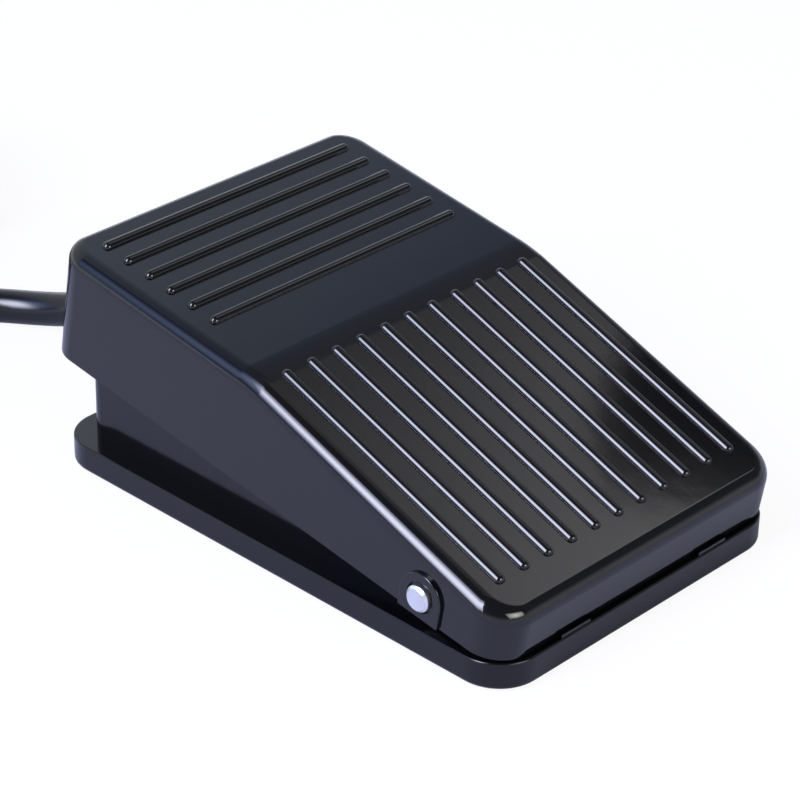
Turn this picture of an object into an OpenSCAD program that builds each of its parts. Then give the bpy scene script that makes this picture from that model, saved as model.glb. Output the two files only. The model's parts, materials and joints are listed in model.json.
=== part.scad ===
// Industrial foot switch: a ribbed pedal hinged on a flanged base,
// with a return spring, a snap switch, a clamped lead and a coil of spare lead.
// Millimetres. X is across, Y runs from the toe (-) to the lead (+), Z is up.
// Z = 0 is the surface that the switch stands on.

/* [Base] */
// Length of the base flange
base_l = 100; // [90:1:115]
// Width of the base flange
base_w = 66.4; // [60:0.2:76]
// Thickness of the base flange
flange_t = 4.8; // [4:0.1:6]
// Corner radius of the flange in plan
flange_r = 7.5; // [5:0.5:10]
// Round on the bottom edge of the flange
flange_edge_r = 0.8; // [0.4:0.1:1.2]
// Round on the top edge of the flange
flange_top_r = 0.3; // [0.2:0.1:0.5]
// Step from the flange's long edge in to the housing wall
housing_step = 3.9; // [3.6:0.1:5]
// Step from the flange's end edges in to the housing wall
housing_end_step = 4.2; // [3.8:0.1:6]
// Corner radius of the housing wall
housing_r = 3; // [2.4:0.2:5]
// Thickness of the housing wall
housing_wall = 2.2; // [1.6:0.1:2.6]
// Thickness of the floor inside the housing
floor_t = 2.6; // [2:0.1:3.2]
// Height of the low front wall above the base's underside
front_wall_h = 10.4; // [9:0.2:11]

/* [Feet] */
// Diameter of a rubber foot
foot_d = 10; // [8:0.5:12]
// Thickness of a rubber foot
foot_t = 1.5; // [1.2:0.1:2]
// How far a foot stands out of the base
foot_proud = 0.4; // [0.2:0.1:0.8]

/* [Hinge] */
// Distance from the front of the flange to the hinge pin
pin_setback = 16.3; // [14:0.1:20]
// Height of the pin above the base's underside
pin_h = 11.2; // [10.6:0.1:12.4]
// Diameter of the hinge pin
pin_d = 4.4; // [3.6:0.1:5]
// How far each pin end stands out of its pad
pin_proud = 0.9; // [0.3:0.1:1.5]
// Radial running clearance round the pin
pin_fit = 0.05; // [0.02:0.01:0.08]

/* [Pedal] */
// Angle that the released pedal is raised through
rest_tilt = 8.8; // [7:0.1:10]
// Travel of the pedal from released to pressed
travel = 8.5; // [6:0.1:9.5]
// Clearance between the pedal's skirt and each side of the housing
side_gap = 1.7; // [1.2:0.1:2.5]
// How far the pedal reaches past the rear of the flange
rear_overhang = 1.2; // [0:0.1:3]
// Distance from the front of the flange back to the front of the pedal
front_inset = 0.1; // [0:0.1:1]
// Height of the flat top above the pin
pedal_top = 16.3; // [15.6:0.1:18]
// Drop of the skirt's lower edge below the pin
skirt_drop = 3.6; // [3.2:0.1:3.9]
// Distance behind the pin at which the flat top meets the slope
crease = 38.5; // [34:0.5:42]
// Fall of the front slope, as rise over run
slope = 0.224; // [0.18:0.002:0.24]
// Wall thickness of the pedal
pedal_wall = 2.2; // [1.6:0.1:2.4]
// Corner radius of the pedal in plan
pedal_r = 6.5; // [4.5:0.5:8]
// Round along the pedal's top edges
top_r = 2.4; // [1.6:0.2:3.2]
// Radius of the soft crease between flat top and slope
crease_r = 40; // [20:5:60]
// Radius of the pad round each pin end
pad_r = 4.1; // [3.8:0.1:5]
// How far that pad stands out of the side
pad_t = 0.6; // [0.3:0.1:1]

/* [Grip ribs] */
// Radius of a grip bead
bead_r = 0.95; // [0.6:0.05:1.2]
// How deep a bead's centre lies under the surface
bead_sunk = 0.15; // [0:0.05:0.3]
// Number of cross beads on the flat top
cross_count = 6; // [3:1:7]
// Spacing of the cross beads
cross_pitch = 5.05; // [4:0.05:6]
// Distance from the pedal's side to the end of a cross bead
cross_inset = 5.4; // [4:0.2:12]
// Distance from the pedal's rear to the first cross bead
cross_setback = 5.2; // [4:0.1:8]
// Number of long beads on the slope
long_count = 11; // [5:2:11]
// Spacing of the long beads
long_pitch = 5.42; // [4:0.02:5.6]
// Distance from the pin forward to the long beads' front ends
long_front = 9.7; // [6:0.1:11]
// Distance from the pin back to the long beads' rear ends
long_rear = 38.7; // [30:0.1:39]

/* [Front tabs] */
// Width of each locating tab on the flange
tab_w = 6.6; // [4:0.2:9]
// Height of a tab
tab_h = 0.6; // [0.3:0.1:0.8]
// Distance of each tab from the middle
tab_x = 16.3; // [10:0.1:22]
// Clearance of the pedal's notch at each side of a tab
tab_fit = 0.4; // [0.2:0.1:0.8]

/* [Return spring] */
// Outer diameter of the spring
spring_d = 10; // [8.8:0.2:12]
// Wire diameter of the spring
spring_wire = 1; // [0.8:0.1:1.4]
// Number of turns
spring_turns = 8; // [6:1:10]
// Height of the spigots that hold the spring's ends
spigot_h = 4; // [2:0.5:5]
// Distance of the spring behind the pin
spring_back = 52.5; // [51:0.1:56]

/* [Snap switch] */
// Length of the switch case
case_l = 27.8; // [27:0.1:28.4]
// Thickness of the switch case, lid included
case_w = 10.3; // [9.6:0.1:11]
// Height of the switch case
case_h = 15.9; // [15:0.1:16.4]
// Thickness of the lid
lid_t = 1.5; // [1.2:0.1:1.6]
// Offset of the switch from the middle, to the left
case_x = 13; // [12:0.5:15]
// Distance of the case's front end behind the pin
case_back = 19.2; // [18.6:0.1:22]
// Diameter of the fixing holes
case_hole_d = 3.1; // [3.05:0.05:3.4]
// Plunger diameter
plunger_d = 2.5; // [2:0.1:3]
// Distance of the plunger from the lever's pivot
plunger_arm = 6.5; // [5.5:0.1:8]
// Length of the lever
lever_l = 28; // [26:0.5:30]
// Thickness of the lever's strip
lever_t = 0.5; // [0.3:0.1:0.7]
// Width of the lever's strip
lever_w = 4.2; // [3:0.2:4.2]
// Distance of the pedal's striker behind the pin
striker_back = 46; // [42:0.5:47]
// Drop of the striker's tip centre below the pedal's ceiling
striker_drop = 3.2; // [2.6:0.1:4]

/* [Lead] */
// Diameter of the lead
lead_d = 6.2; // [5:0.1:7]
// Height of the lead where it leaves, above the base's underside
lead_h = 10.2; // [9.9:0.1:10.6]
// Length of the bush outside the housing wall
bush_l = 14.2; // [10:0.1:18]
// Diameter of the insulated cores
core_d = 1.9; // [1.4:0.1:2.2]
// Middle radius of the stored coil
coil_r = 31; // [28:1:40]

/* [Hidden] */

$fn = 48;
eps = 0.02;          // overlap that makes a clean cut
gap = 0.1;           // working gap between pieces that only lie together

// Colours of the materials
shell_black = [0.12, 0.13, 0.15];
zinc = [0.78, 0.79, 0.80];
steel = [0.62, 0.63, 0.65];
brass = [0.80, 0.66, 0.36];
rubber_black = [0.08, 0.08, 0.08];

// Places that follow from the sizes above. Heights count from the base's underside.
pin_y = -base_l / 2 + pin_setback;
housing_w = base_w - 2 * housing_step;
housing_l = base_l - 2 * housing_end_step;
housing_end = housing_l / 2;
inner_x = housing_w / 2 - housing_wall;
pedal_w = housing_w + 2 * (side_gap + pedal_wall);
pedal_rear = base_l - pin_setback + rear_overhang;
pedal_front = pin_setback - front_inset;
cross_l = pedal_w - 2 * cross_inset;
slope_a = atan(slope);
ceiling = pedal_top - pedal_wall;
wall_top = pin_h + ceiling - 1.4;
boss_t = 1.4;        // extra wall round the pin, inside the housing
ear_r = 4.6;         // rounding of the housing wall over the pin
pin_half = pedal_w / 2 + pad_t + pin_proud;
pin_hole_d = pin_d + 2 * pin_fit;
clip_t = 0.6;
clip_x = inner_x - boss_t - 0.15 - clip_t;
groove_d = pin_d - 0.9;
washer_t = side_gap - 0.4;

// The switch, its lever and the striker that works it
case_y = pin_y + case_back;
case_z = floor_t + gap;
case_top = case_z + case_h;
pivot_y = case_y + 1.5;
pivot_z = case_top + 0.9;
pivot_ear_r = 1.25;
pivot_ear_t = 1.2;
lever_gap = 0.12;
striker_r = 1.5;
striker_z = ceiling - striker_drop + striker_r - 1;
function turned(a, p) = [p[0] * cos(a) - p[1] * sin(a), p[0] * sin(a) + p[1] * cos(a)];
function striker_at(a) = turned(a, [striker_back, striker_z]) + [pin_y, pin_h];
function lever_angle(a) =
  let (v = striker_at(a) - [pivot_y, pivot_z])
  atan2(v[1], v[0]) - asin((lever_t / 2 + striker_r + lever_gap) / norm(v));
lever_rest = lever_angle(rest_tilt);
plunger_y = pivot_y + plunger_arm;
plunger_top = pivot_z + plunger_arm * tan(lever_rest) - lever_t / 2 / cos(lever_rest) - 0.15;
screw_d = 2.95;
screw_head_d = 5.6;
screw_head_h = 2;
switch_washer_t = 0.5;
nut_w = 5.5;
nut_t = 2.4;
hole_in = 2.8;       // from the case's edges to a fixing hole
hole_a = [case_y + hole_in, case_z + hole_in];
hole_b = [case_y + case_l - hole_in, case_z + case_h - hole_in];
case_left = -case_x - case_w / 2;
case_right = -case_x + case_w / 2;
rib_x = case_right + gap;
rib_t = 3;
terminal_l = 7;
terminal_t = 0.5;
terminal_w = 4.8;
terminal_in = 1;       // how deep a terminal sits in the case
terminal_pitch = 4.4;
slot_fit = 0.05;
terminal_z = [for (i = [-1 : 1]) case_z + case_h / 2 + i * terminal_pitch];
sleeve_l = 11;
sleeve_y = case_y + case_l + 1.2;
sleeve_size = [6.6, sleeve_l, 3.4];
rib_drop = 1.2;      // how far the upright ends below the case's top
gusset_in = 8;
gusset_t = 1.5;
gusset_size = [6, 11];

// The spring's seats
seat_z = ceiling - 1.1;
spring_y = pin_y + spring_back;
seat_at = turned(rest_tilt, [spring_back + seat_z * sin(rest_tilt - travel / 2), seat_z])
  + [pin_y, pin_h];

// The lead and what holds it
bush_end = housing_end + bush_l;
lead_fit = 0.05;
wall_hole_d = 9;
bush_flange_t = 1.8;
bush_flange_d = 12;
bush_collar = [10.4, 1.6];
bush_sleeve_d = [9.2, 7.6];
clamp_l = 7;
clamp_t = 2.2;
clamp_wall = 1.5;
clamp_arch_d = lead_d + 2 * (lead_fit + clamp_wall);
clamp_post_d = 6.6;
clamp_post_x = 7.1;
clamp_edge = 0.1;
clamp_y = housing_end - housing_wall - bush_flange_t - 4.8;
clamp_z = lead_h + gap;
inlet_start = clamp_y - 5;

// Route of the loose lead: [X, Y, Z] from the bush to the stored coil
ROUTE = [
  [0, 60, 10.6], [0, 62, 10.6], [-0.3, 65, 10.2], [-0.6, 68, 9.5], [-1.2, 72, 8.2],
  [-1.9, 76, 6.7], [-2.7, 80, 5.3], [-3.8, 84, 4.2], [-5.4, 88, 3.5],
  [-7.7, 92, 3.2], [-10.6, 96, 3.1], [-15, 101.6, 3.1], [-20, 107.9, 3.1],
  [-25, 114.3, 3.2], [-30, 120.6, 3.4], [-35, 126.9, 3.7], [-40.2, 133.5, 3.9]
];
coil_at = [-13.4, 154.6];
tie_t = 0.8;
tie_w = 4;
tie_fit = 0.15;
tail_from = 134;     // the last part turn runs from here to tail_to, seen from above
tail_to = 353;
core_l = 45;

module on_feet() { translate([0, 0, foot_proud]) children(); }

module on_pedal() {
  on_feet() translate([0, pin_y, pin_h]) rotate([rest_tilt, 0, 0]) children();
}

module both_sides() {
  for (s = [-1, 1]) scale([s, 1, 1]) children();
}

// A flat rounded rectangle made of squares and circles, so that its corners stay true arcs
module round_rect(w, l, r) {
  square([w - 2 * r, l], center = true);
  square([w, l - 2 * r], center = true);
  for (x = [-1, 1], y = [-1, 1]) translate([x * (w / 2 - r), y * (l / 2 - r)]) circle(r);
}

// Extrudes a [Y, Z] outline along X, from x0 to x1
module across(x0, x1) {
  translate([x0, 0, 0]) rotate([90, 0, 90]) linear_extrude(x1 - x0) children();
}

// A cylinder along X, from x0 to x1
module bar(x0, x1, d) {
  translate([x0, 0, 0]) rotate([0, 90, 0]) cylinder(d = d, h = x1 - x0);
}

// A cylinder along +Y
module along(l, d1, d2) {
  rotate([-90, 0, 0]) cylinder(d1 = d1, d2 = d2, h = l);
}

// ---- Base ----

// Outline across the flange's edge, w wide, with a rounded foot and a small round on top
module flange_edge(w) {
  square([w - flange_edge_r, flange_t]);
  translate([0, flange_edge_r]) square([w - flange_top_r, flange_t - flange_edge_r]);
  translate([0, flange_edge_r]) square([w, flange_t - flange_edge_r - flange_top_r]);
  translate([w - flange_edge_r, flange_edge_r]) circle(flange_edge_r);
  translate([w - flange_top_r, flange_t - flange_top_r]) circle(flange_top_r);
}

module flange() {
  x = base_w / 2 - flange_r;
  y = base_l / 2 - flange_r;
  translate([-x, -y, 0]) cube([2 * x, 2 * y, flange_t]);
  for (a = [0, 180]) {
    rotate([0, 0, a]) translate([x, 0, 0]) rotate([90, 0, 0])
      linear_extrude(2 * y, center = true) flange_edge(flange_r);
    rotate([0, 0, a]) translate([0, y, 0]) rotate([90, 0, 90])
      linear_extrude(2 * x, center = true) flange_edge(flange_r);
    rotate([0, 0, a]) translate([x, y, 0]) rotate_extrude(angle = 90) flange_edge(flange_r);
    rotate([0, 0, a]) translate([-x, y, 0]) rotate([0, 0, 90])
      rotate_extrude(angle = 90) flange_edge(flange_r);
  }
}

// Side outline of the housing wall: low at the toe, rounded over the pin, level at the rear
module housing_profile() {
  polygon([
    [-housing_end - 1, 0], [housing_end + 1, 0], [housing_end + 1, wall_top],
    [pin_y + crease, wall_top], [pin_y, wall_top - crease * slope],
    [-housing_end - 1, front_wall_h]
  ]);
}

module housing_wall() {
  intersection() {
    linear_extrude(wall_top) difference() {
      round_rect(housing_w, housing_l, housing_r);
      round_rect(housing_w - 2 * housing_wall, housing_l - 2 * housing_wall,
        housing_r - housing_wall + 0.2);
    }
    across(-housing_w / 2 - 1, housing_w / 2 + 1) housing_profile();
  }
}

module pin_bosses() {
  both_sides() translate([0, pin_y, pin_h]) bar(inner_x - boss_t, inner_x + eps, 2 * ear_r);
}

// The upright that the snap switch is bolted to, with a gusset at each end
module switch_rib() {
  translate([rib_x, case_y, floor_t - eps]) cube([rib_t, case_l, case_h - rib_drop]);
  for (y = [case_y + gusset_in, case_y + case_l - gusset_in])
    translate([rib_x + rib_t - eps, y + gusset_t / 2, floor_t - eps]) rotate([90, 0, 0])
      linear_extrude(gusset_t) polygon([[0, 0], [gusset_size[0], 0], [0, gusset_size[1]]]);
}

module clamp_posts() {
  for (s = [-1, 1]) translate([s * clamp_post_x, clamp_y, floor_t - eps])
    cylinder(d = clamp_post_d, h = clamp_z - gap - floor_t);
  translate([-lead_d / 2, clamp_y - clamp_l / 2, floor_t - eps])
    cube([lead_d, clamp_l, lead_h - floor_t - 1.8]);
}

// Two posts that the pedal's ceiling lands on at the end of its travel
stop_x = inner_x - 7.1;
stop_y = housing_end - 9.8;
stop_gap = 0.1;
stop_top = pin_h + ceiling * cos(rest_tilt - travel)
  + (stop_y - 3 - pin_y) * sin(rest_tilt - travel) - stop_gap;
module stop_posts() {
  both_sides() translate([stop_x, stop_y, floor_t - eps]) {
    cylinder(d = 6, h = stop_top - floor_t + eps);
    translate([-0.9, -5.5, 0]) cube([1.8, 11, (stop_top - floor_t) * 0.6]);
  }
}

module front_tabs() {
  both_sides() translate([tab_x - tab_w / 2, -base_l / 2 + 0.3, flange_t - 0.5])
    cube([tab_w, 1.4, tab_h + 0.5]);
}

module base() {
  color(shell_black) on_feet() difference() {
    union() {
      flange();
      front_tabs();
      housing_wall();
      pin_bosses();
    }
    // the tub inside the housing
    translate([0, 0, floor_t]) linear_extrude(flange_t)
      round_rect(housing_w - 2 * housing_wall, housing_l - 2 * housing_wall,
        housing_r - housing_wall + 0.2);
    translate([0, pin_y, pin_h]) bar(-base_w, base_w, pin_hole_d);
    translate([0, housing_end - housing_wall - 1, lead_h]) along(housing_wall + 2, wall_hole_d, wall_hole_d);
    foot_places() translate([0, 0, -1]) cylinder(d = foot_d + 2 * gap, h = foot_t - foot_proud + 1);
  }
  color(shell_black) on_feet() difference() {
    union() {
      switch_rib();
      clamp_posts();
      stop_posts();
      translate([0, spring_y, floor_t - eps])
        cylinder(d = spring_d - 2 * spring_wire - 0.8, h = spigot_h);
    }
    for (h = [hole_a, hole_b]) translate([0, h[0], h[1]]) bar(rib_x - 1, rib_x + rib_t + 1, case_hole_d);
    for (s = [-1, 1]) translate([s * clamp_post_x, clamp_y, floor_t + 0.6]) cylinder(d = 3, h = 20);
    translate([0, clamp_y - clamp_l, lead_h]) along(2 * clamp_l, lead_d + 2 * lead_fit, lead_d + 2 * lead_fit);
  }
}

// ---- Feet ----

module foot_places() {
  for (x = [-1, 1], y = [-1, 1])
    translate([x * (base_w / 2 - flange_r - 1), y * (base_l / 2 - flange_r - 1), 0]) children();
}

module rubber_feet() {
  color(rubber_black) foot_places() cylinder(d = foot_d, h = foot_t);
}

// ---- Pedal, drawn level with its pin at the origin ----

// A corner of the pedal: a disc with a rounded upper rim, its top at z = 0
module pedal_corner(r, t) {
  rotate_extrude($fn = 32) {
    translate([0, -t - 0.5]) square([r, 0.5]);
    translate([0, -t]) square([r - t, t]);
    translate([r - t, -t]) intersection() {
      circle(t, $fn = 32);
      square(t);
    }
  }
}

// The pedal's outside when t is 0, and its inside when t is the wall
module pedal_form(t, drop) {
  w = pedal_w / 2 - t;
  r = pedal_r - t;
  e = max(top_r - t, 0.5);
  z = pedal_top - t;
  front_z = z - slope * (crease + pedal_front - t) + slope * r;
  bend = crease_r * tan(slope_a / 2);
  hull() {
    for (s = [-1, 1]) {
      for (y = [pedal_rear - t - r, -pedal_front + t + r])
        translate([s * (w - r), y, -drop]) cylinder(r = r, h = 1, $fn = 32);
      translate([s * (w - r), pedal_rear - t - r, z]) pedal_corner(r, e);
      translate([s * (w - r), -pedal_front + t + r, front_z]) rotate([slope_a, 0, 0])
        pedal_corner(r, e);
      // the soft crease, as balls under an arc that is tangent to both tops
      for (a = [0 : 0.5 : 1])
        translate([s * (w - e), crease + bend - crease_r * sin(a * slope_a),
          z - e - crease_r * (1 - cos(a * slope_a))]) sphere(e, $fn = 24);
    }
  }
}

// A bead with domed ends, from y = 0 to l, lying on the XY plane
module bead(l) {
  translate([0, 0, -bead_sunk]) {
    translate([0, bead_r, 0]) along(l - 2 * bead_r, 2 * bead_r, 2 * bead_r);
    for (y = [bead_r, l - bead_r]) translate([0, y, 0]) sphere(bead_r, $fn = 24);
  }
}

module cross_beads() {
  for (i = [0 : cross_count - 1])
    translate([cross_l / 2, pedal_rear - cross_setback - i * cross_pitch, pedal_top])
      rotate([0, 0, 90]) bead(cross_l);
}

module long_beads() {
  run = (long_rear + long_front) / cos(slope_a);
  for (i = [0 : long_count - 1])
    translate([(i - (long_count - 1) / 2) * long_pitch, -long_front,
      pedal_top - slope * (crease + long_front)])
      rotate([slope_a, 0, 0]) bead(run);
}

// The arched pad that carries each pin end, down to the skirt's lower edge
module pin_pads() {
  both_sides() across(pedal_w / 2 - 1, pedal_w / 2 + pad_t) {
    circle(pad_r);
    translate([-pad_r, -skirt_drop]) square([2 * pad_r, skirt_drop]);
  }
}

// Arch in the rear skirt that lets the pedal come down round the bush
module lead_arch() {
  arch_r = 6.2;
  arch_z = lead_h - pin_h - pedal_rear * sin(rest_tilt - travel);
  translate([0, pedal_rear - pedal_r, arch_z]) along(pedal_r + 1, 2 * arch_r, 2 * arch_r);
  translate([-arch_r, pedal_rear - pedal_r, arch_z - 20]) cube([2 * arch_r, pedal_r + 1, 20]);
}

module tab_notches() {
  both_sides() translate([tab_x - tab_w / 2 - tab_fit, -pedal_front - 1, -skirt_drop - 1])
    cube([tab_w + 2 * tab_fit, pedal_wall + 2, 1 + tab_h]);
}

// The finger that presses the lever of the snap switch
module striker() {
  translate([0, striker_back, striker_z]) {
    bar(-case_x - lever_w / 2, -case_x + lever_w / 2, 2 * striker_r);
    translate([-case_x - lever_w / 2, -striker_r, 0])
      cube([lever_w, 2 * striker_r, ceiling - striker_z + 0.6]);
  }
}

// Cup and spigot for the top of the spring, level at half travel
module spring_seat() {
  translate([0, spring_back + seat_z * sin(rest_tilt - travel / 2), seat_z])
    rotate([-(rest_tilt - travel / 2), 0, 0]) {
      cylinder(d = spring_d + 1.4, h = 2.4);
      translate([0, 0, -spigot_h]) cylinder(d = spring_d - 2 * spring_wire - 0.8, h = spigot_h + 1);
    }
}

module pedal_cover() {
  color(shell_black) on_pedal() difference() {
    union() {
      difference() {
        union() {
          pedal_form(0, skirt_drop);
          pin_pads();
        }
        pedal_form(pedal_wall, skirt_drop + 1);
      }
      cross_beads();
      long_beads();
      striker();
      spring_seat();
    }
    bar(-base_w, base_w, pin_hole_d);
    both_sides() bar(pedal_w / 2 + pad_t - 0.5, pedal_w, pin_hole_d + 0.8);
    lead_arch();
    tab_notches();
  }
}

// ---- Hinge ----

module pivot_pin() {
  color(zinc) on_feet() translate([0, pin_y, pin_h]) difference() {
    union() {
      bar(-pin_half + 0.4, pin_half - 0.4, pin_d);
      both_sides() translate([pin_half - 0.4, 0, 0]) rotate([0, 90, 0])
        cylinder(d1 = pin_d, d2 = pin_d - 0.8, h = 0.4);
    }
    both_sides() translate([clip_x - 0.05, 0, 0]) rotate([0, 90, 0]) difference() {
      cylinder(d = pin_d + 1, h = clip_t + 0.1);
      translate([0, 0, -1]) cylinder(d = groove_d, h = clip_t + 3);
    }
  }
}

// Retaining clips that snap into the pin's grooves against the housing bosses
module pin_clips() {
  color(steel) on_feet() both_sides() translate([clip_x, pin_y, pin_h]) rotate([0, 90, 0])
    linear_extrude(clip_t) difference() {
      circle(d = 2 * pin_d - 0.8);
      circle(d = groove_d + 0.05);
      translate([-groove_d * 0.42, -pin_d]) square([groove_d * 0.84, pin_d]);
    }
}

// Thin washers that keep the pedal in the middle of the base
module pin_washers() {
  color("white") on_feet() both_sides() translate([housing_w / 2 + 0.2, pin_y, pin_h])
    rotate([0, 90, 0]) difference() {
      cylinder(d = 2 * ear_r - 0.4, h = washer_t);
      translate([0, 0, -1]) cylinder(d = pin_hole_d, h = washer_t + 2);
    }
}

// ---- Return spring: a wire swept along a helix between its two seats ----

spring_foot = [0, spring_y, floor_t + spring_wire / 2 + gap];
spring_head = [0, seat_at[0], seat_at[1] - spring_wire / 2 - 0.55];
spring_steps = 12;
function spring_point(u) =
  let (
    r = (spring_d - spring_wire) / 2,
    a = 360 * spring_turns * u,
    // the end turns lie nearly flat
    flat_end = 0.6 * spring_wire / norm(spring_head - spring_foot),
    one = 1 / spring_turns,
    t = u < one ? flat_end * u / one * 2
      : u > 1 - one ? 1 - flat_end * (1 - u) / one * 2
      : 2 * flat_end + (1 - 4 * flat_end) * (u - one) / (1 - 2 * one)
  )
  spring_foot + t * (spring_head - spring_foot) + [r * cos(a), r * sin(a), 0];

// Rings of points round a path, square to it
function unit(v) = v / norm(v);
function ring_at(path, i, r, sides) =
  let (
    last = len(path) - 1,
    d = unit(path[min(i + 1, last)] - path[max(i - 1, 0)]),
    side = unit(cross(d, abs(d[2]) > 0.9 ? [0, 1, 0] : [0, 0, 1])),
    up = cross(side, d)
  )
  [for (k = [0 : sides - 1]) path[i] + r * (cos(360 * k / sides) * side + sin(360 * k / sides) * up)];

// A round tube of radius r along a path
module sweep(path, r, sides) {
  n = len(path);
  points = [for (i = [0 : n - 1]) each ring_at(path, i, r, sides)];
  walls = [for (i = [0 : n - 2], k = [0 : sides - 1])
    let (a = i * sides + k, b = i * sides + (k + 1) % sides) [a, a + sides, b + sides, b]];
  start = [for (k = [0 : sides - 1]) k];
  end = [for (k = [sides - 1 : -1 : 0]) (n - 1) * sides + k];
  polyhedron(points, concat(walls, [start, end]), convexity = 6);
}

module return_spring() {
  color(steel) on_feet()
    sweep([for (i = [0 : spring_turns * spring_steps]) spring_point(i / spring_turns / spring_steps)],
      spring_wire / 2, 8);
}

// ---- Snap switch ----

module case_outline() {
  translate([case_y, case_z]) square([case_l, case_h]);
}

module fixing_holes(x0, x1) {
  for (h = [hole_a, hole_b]) translate([0, h[0], h[1]]) bar(x0, x1, case_hole_d);
}

module switch_case() {
  color([0.15, 0.15, 0.16]) on_feet() difference() {
    union() {
      across(case_left, case_right - lid_t) case_outline();
      // ears for the lever's pivot
      for (s = [-1, 1])
        let (x = -case_x + s * (lever_w / 2 + 0.2 + pivot_ear_t / 2))
        across(x - pivot_ear_t / 2, x + pivot_ear_t / 2) {
          translate([pivot_y, pivot_z]) circle(pivot_ear_r);
          translate([pivot_y - pivot_ear_r, case_top - 1])
            square([2 * pivot_ear_r, pivot_z - case_top + 1]);
        }
    }
    fixing_holes(case_left - 1, case_right + 1);
    translate([-case_x, plunger_y, plunger_top - 7.5]) cylinder(d = plunger_d + 0.1, h = 20);
    translate([0, pivot_y, pivot_z]) bar(-case_x - 6, -case_x + 6, 1.7);
    for (z = terminal_z) terminal_slot(z);
  }
}

module terminal_slot(z) {
  translate([-case_x - 1 - terminal_w / 2, case_y + case_l - terminal_in, z - terminal_t / 2] - slot_fit * [1, 1, 1])
    cube([terminal_w + 2 * slot_fit, terminal_in + 1, terminal_t + 2 * slot_fit]);
}

module switch_lid() {
  color([0.15, 0.15, 0.16]) on_feet() difference() {
    across(case_right - lid_t + 0.02, case_right) case_outline();
    fixing_holes(case_left - 1, case_right + 1);
  }
}

module switch_plunger() {
  color([0.75, 0.12, 0.10]) on_feet() translate([-case_x, plunger_y, plunger_top - 5.4]) {
    cylinder(d = plunger_d, h = 4.6);
    translate([0, 0, 4.6]) cylinder(d1 = plunger_d, d2 = plunger_d - 1.2, h = 0.6);
  }
}

// A sprung strip with a rolled pivot, raised until the striker brings it down
module switch_lever() {
  color(steel) on_feet() translate([-case_x, pivot_y, pivot_z]) rotate([lever_rest, 0, 0]) {
    bar(-lever_w / 2 - 1.5, lever_w / 2 + 1.5, 1.6);
    translate([-lever_w / 2, 0, -lever_t / 2]) cube([lever_w, lever_l, lever_t]);
  }
}

module terminal(z) {
  color(brass) on_feet()
    translate([-case_x - 1 - terminal_w / 2, case_y + case_l - terminal_in, z - terminal_t / 2])
      difference() {
        cube([terminal_w, terminal_l + terminal_in, terminal_t]);
        translate([terminal_w / 2, terminal_l - 1, -1]) cylinder(d = 1.4, h = 3);
      }
}

module common_terminal() { terminal(terminal_z[0]); }
module closed_terminal() { terminal(terminal_z[1]); }
module open_terminal() { terminal(terminal_z[2]); }

// Insulated push-on sleeves over the three terminals
module terminal_sleeves() {
  color([0.55, 0.12, 0.12]) on_feet() for (z = terminal_z)
    translate([-case_x - 1 - sleeve_size[0] / 2, sleeve_y, z - sleeve_size[2] / 2]) difference() {
      cube(sleeve_size);
      translate([(sleeve_size[0] - terminal_w) / 2 - 0.05, -1, (sleeve_size[2] - terminal_t) / 2 - 0.05])
        cube([terminal_w + 0.1, terminal_l + 0.2, terminal_t + 0.1]);
      translate([sleeve_size[0] / 2, sleeve_l - 4, sleeve_size[2] / 2])
        along(5, core_d + 0.1, core_d + 0.1);
    }
}

screw_head_x = case_left - switch_washer_t - 0.05;
module switch_screws() {
  color(steel) on_feet() for (h = [hole_a, hole_b]) translate([0, h[0], h[1]]) difference() {
    union() {
      bar(screw_head_x - screw_head_h, screw_head_x, screw_head_d);
      bar(screw_head_x - eps, rib_x + rib_t + nut_t + 0.8, screw_d);
    }
    translate([screw_head_x - screw_head_h, 0, 0]) cube([1.6, 4, 0.8], center = true);
    translate([screw_head_x - screw_head_h, 0, 0]) cube([1.6, 0.8, 4], center = true);
  }
}

module switch_washers() {
  color(zinc) on_feet() for (h = [hole_a, hole_b]) translate([case_left - switch_washer_t - 0.03, h[0], h[1]])
    rotate([0, 90, 0]) difference() {
      cylinder(d = screw_head_d, h = switch_washer_t);
      translate([0, 0, -1]) cylinder(d = case_hole_d + 0.1, h = 3);
    }
}

module switch_nuts() {
  color(zinc) on_feet() for (h = [hole_a, hole_b]) translate([rib_x + rib_t + 0.03, h[0], h[1]])
    rotate([0, 90, 0]) difference() {
      rotate([0, 0, 30]) cylinder(d = nut_w / cos(30), h = nut_t, $fn = 6);
      translate([0, 0, -1]) cylinder(d = screw_d + 0.06, h = nut_t + 2);
    }
}

// ---- Lead ----

// Rubber bush: a flange on each side of the wall and a tapered sleeve with grooves outside
module lead_bush() {
  color(rubber_black) on_feet() translate([0, housing_end, lead_h]) difference() {
    union() {
      translate([0, -housing_wall - gap - bush_flange_t, 0])
        along(bush_flange_t, bush_flange_d, bush_flange_d);
      translate([0, -housing_wall - gap - eps, 0]) along(housing_wall + 2 * gap + 2 * eps,
        wall_hole_d - 2 * gap, wall_hole_d - 2 * gap);
      translate([0, gap, 0]) along(bush_collar[1], bush_collar[0], bush_collar[0]);
      translate([0, gap + bush_collar[1] - eps, 0])
        along(bush_l - gap - bush_collar[1] + eps, bush_sleeve_d[0], bush_sleeve_d[1]);
    }
    translate([0, -housing_wall - bush_flange_t - 1, 0])
      along(bush_l + housing_wall + bush_flange_t + 2, lead_d + 2 * lead_fit, lead_d + 2 * lead_fit);
    for (i = [0 : 3]) translate([0, 4 + i * 2.4, 0]) rotate([-90, 0, 0]) difference() {
      cylinder(d = bush_flange_d, h = 0.9);
      translate([0, 0, -1]) cylinder(d = lead_d + 1, h = 3);
    }
  }
}

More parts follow.
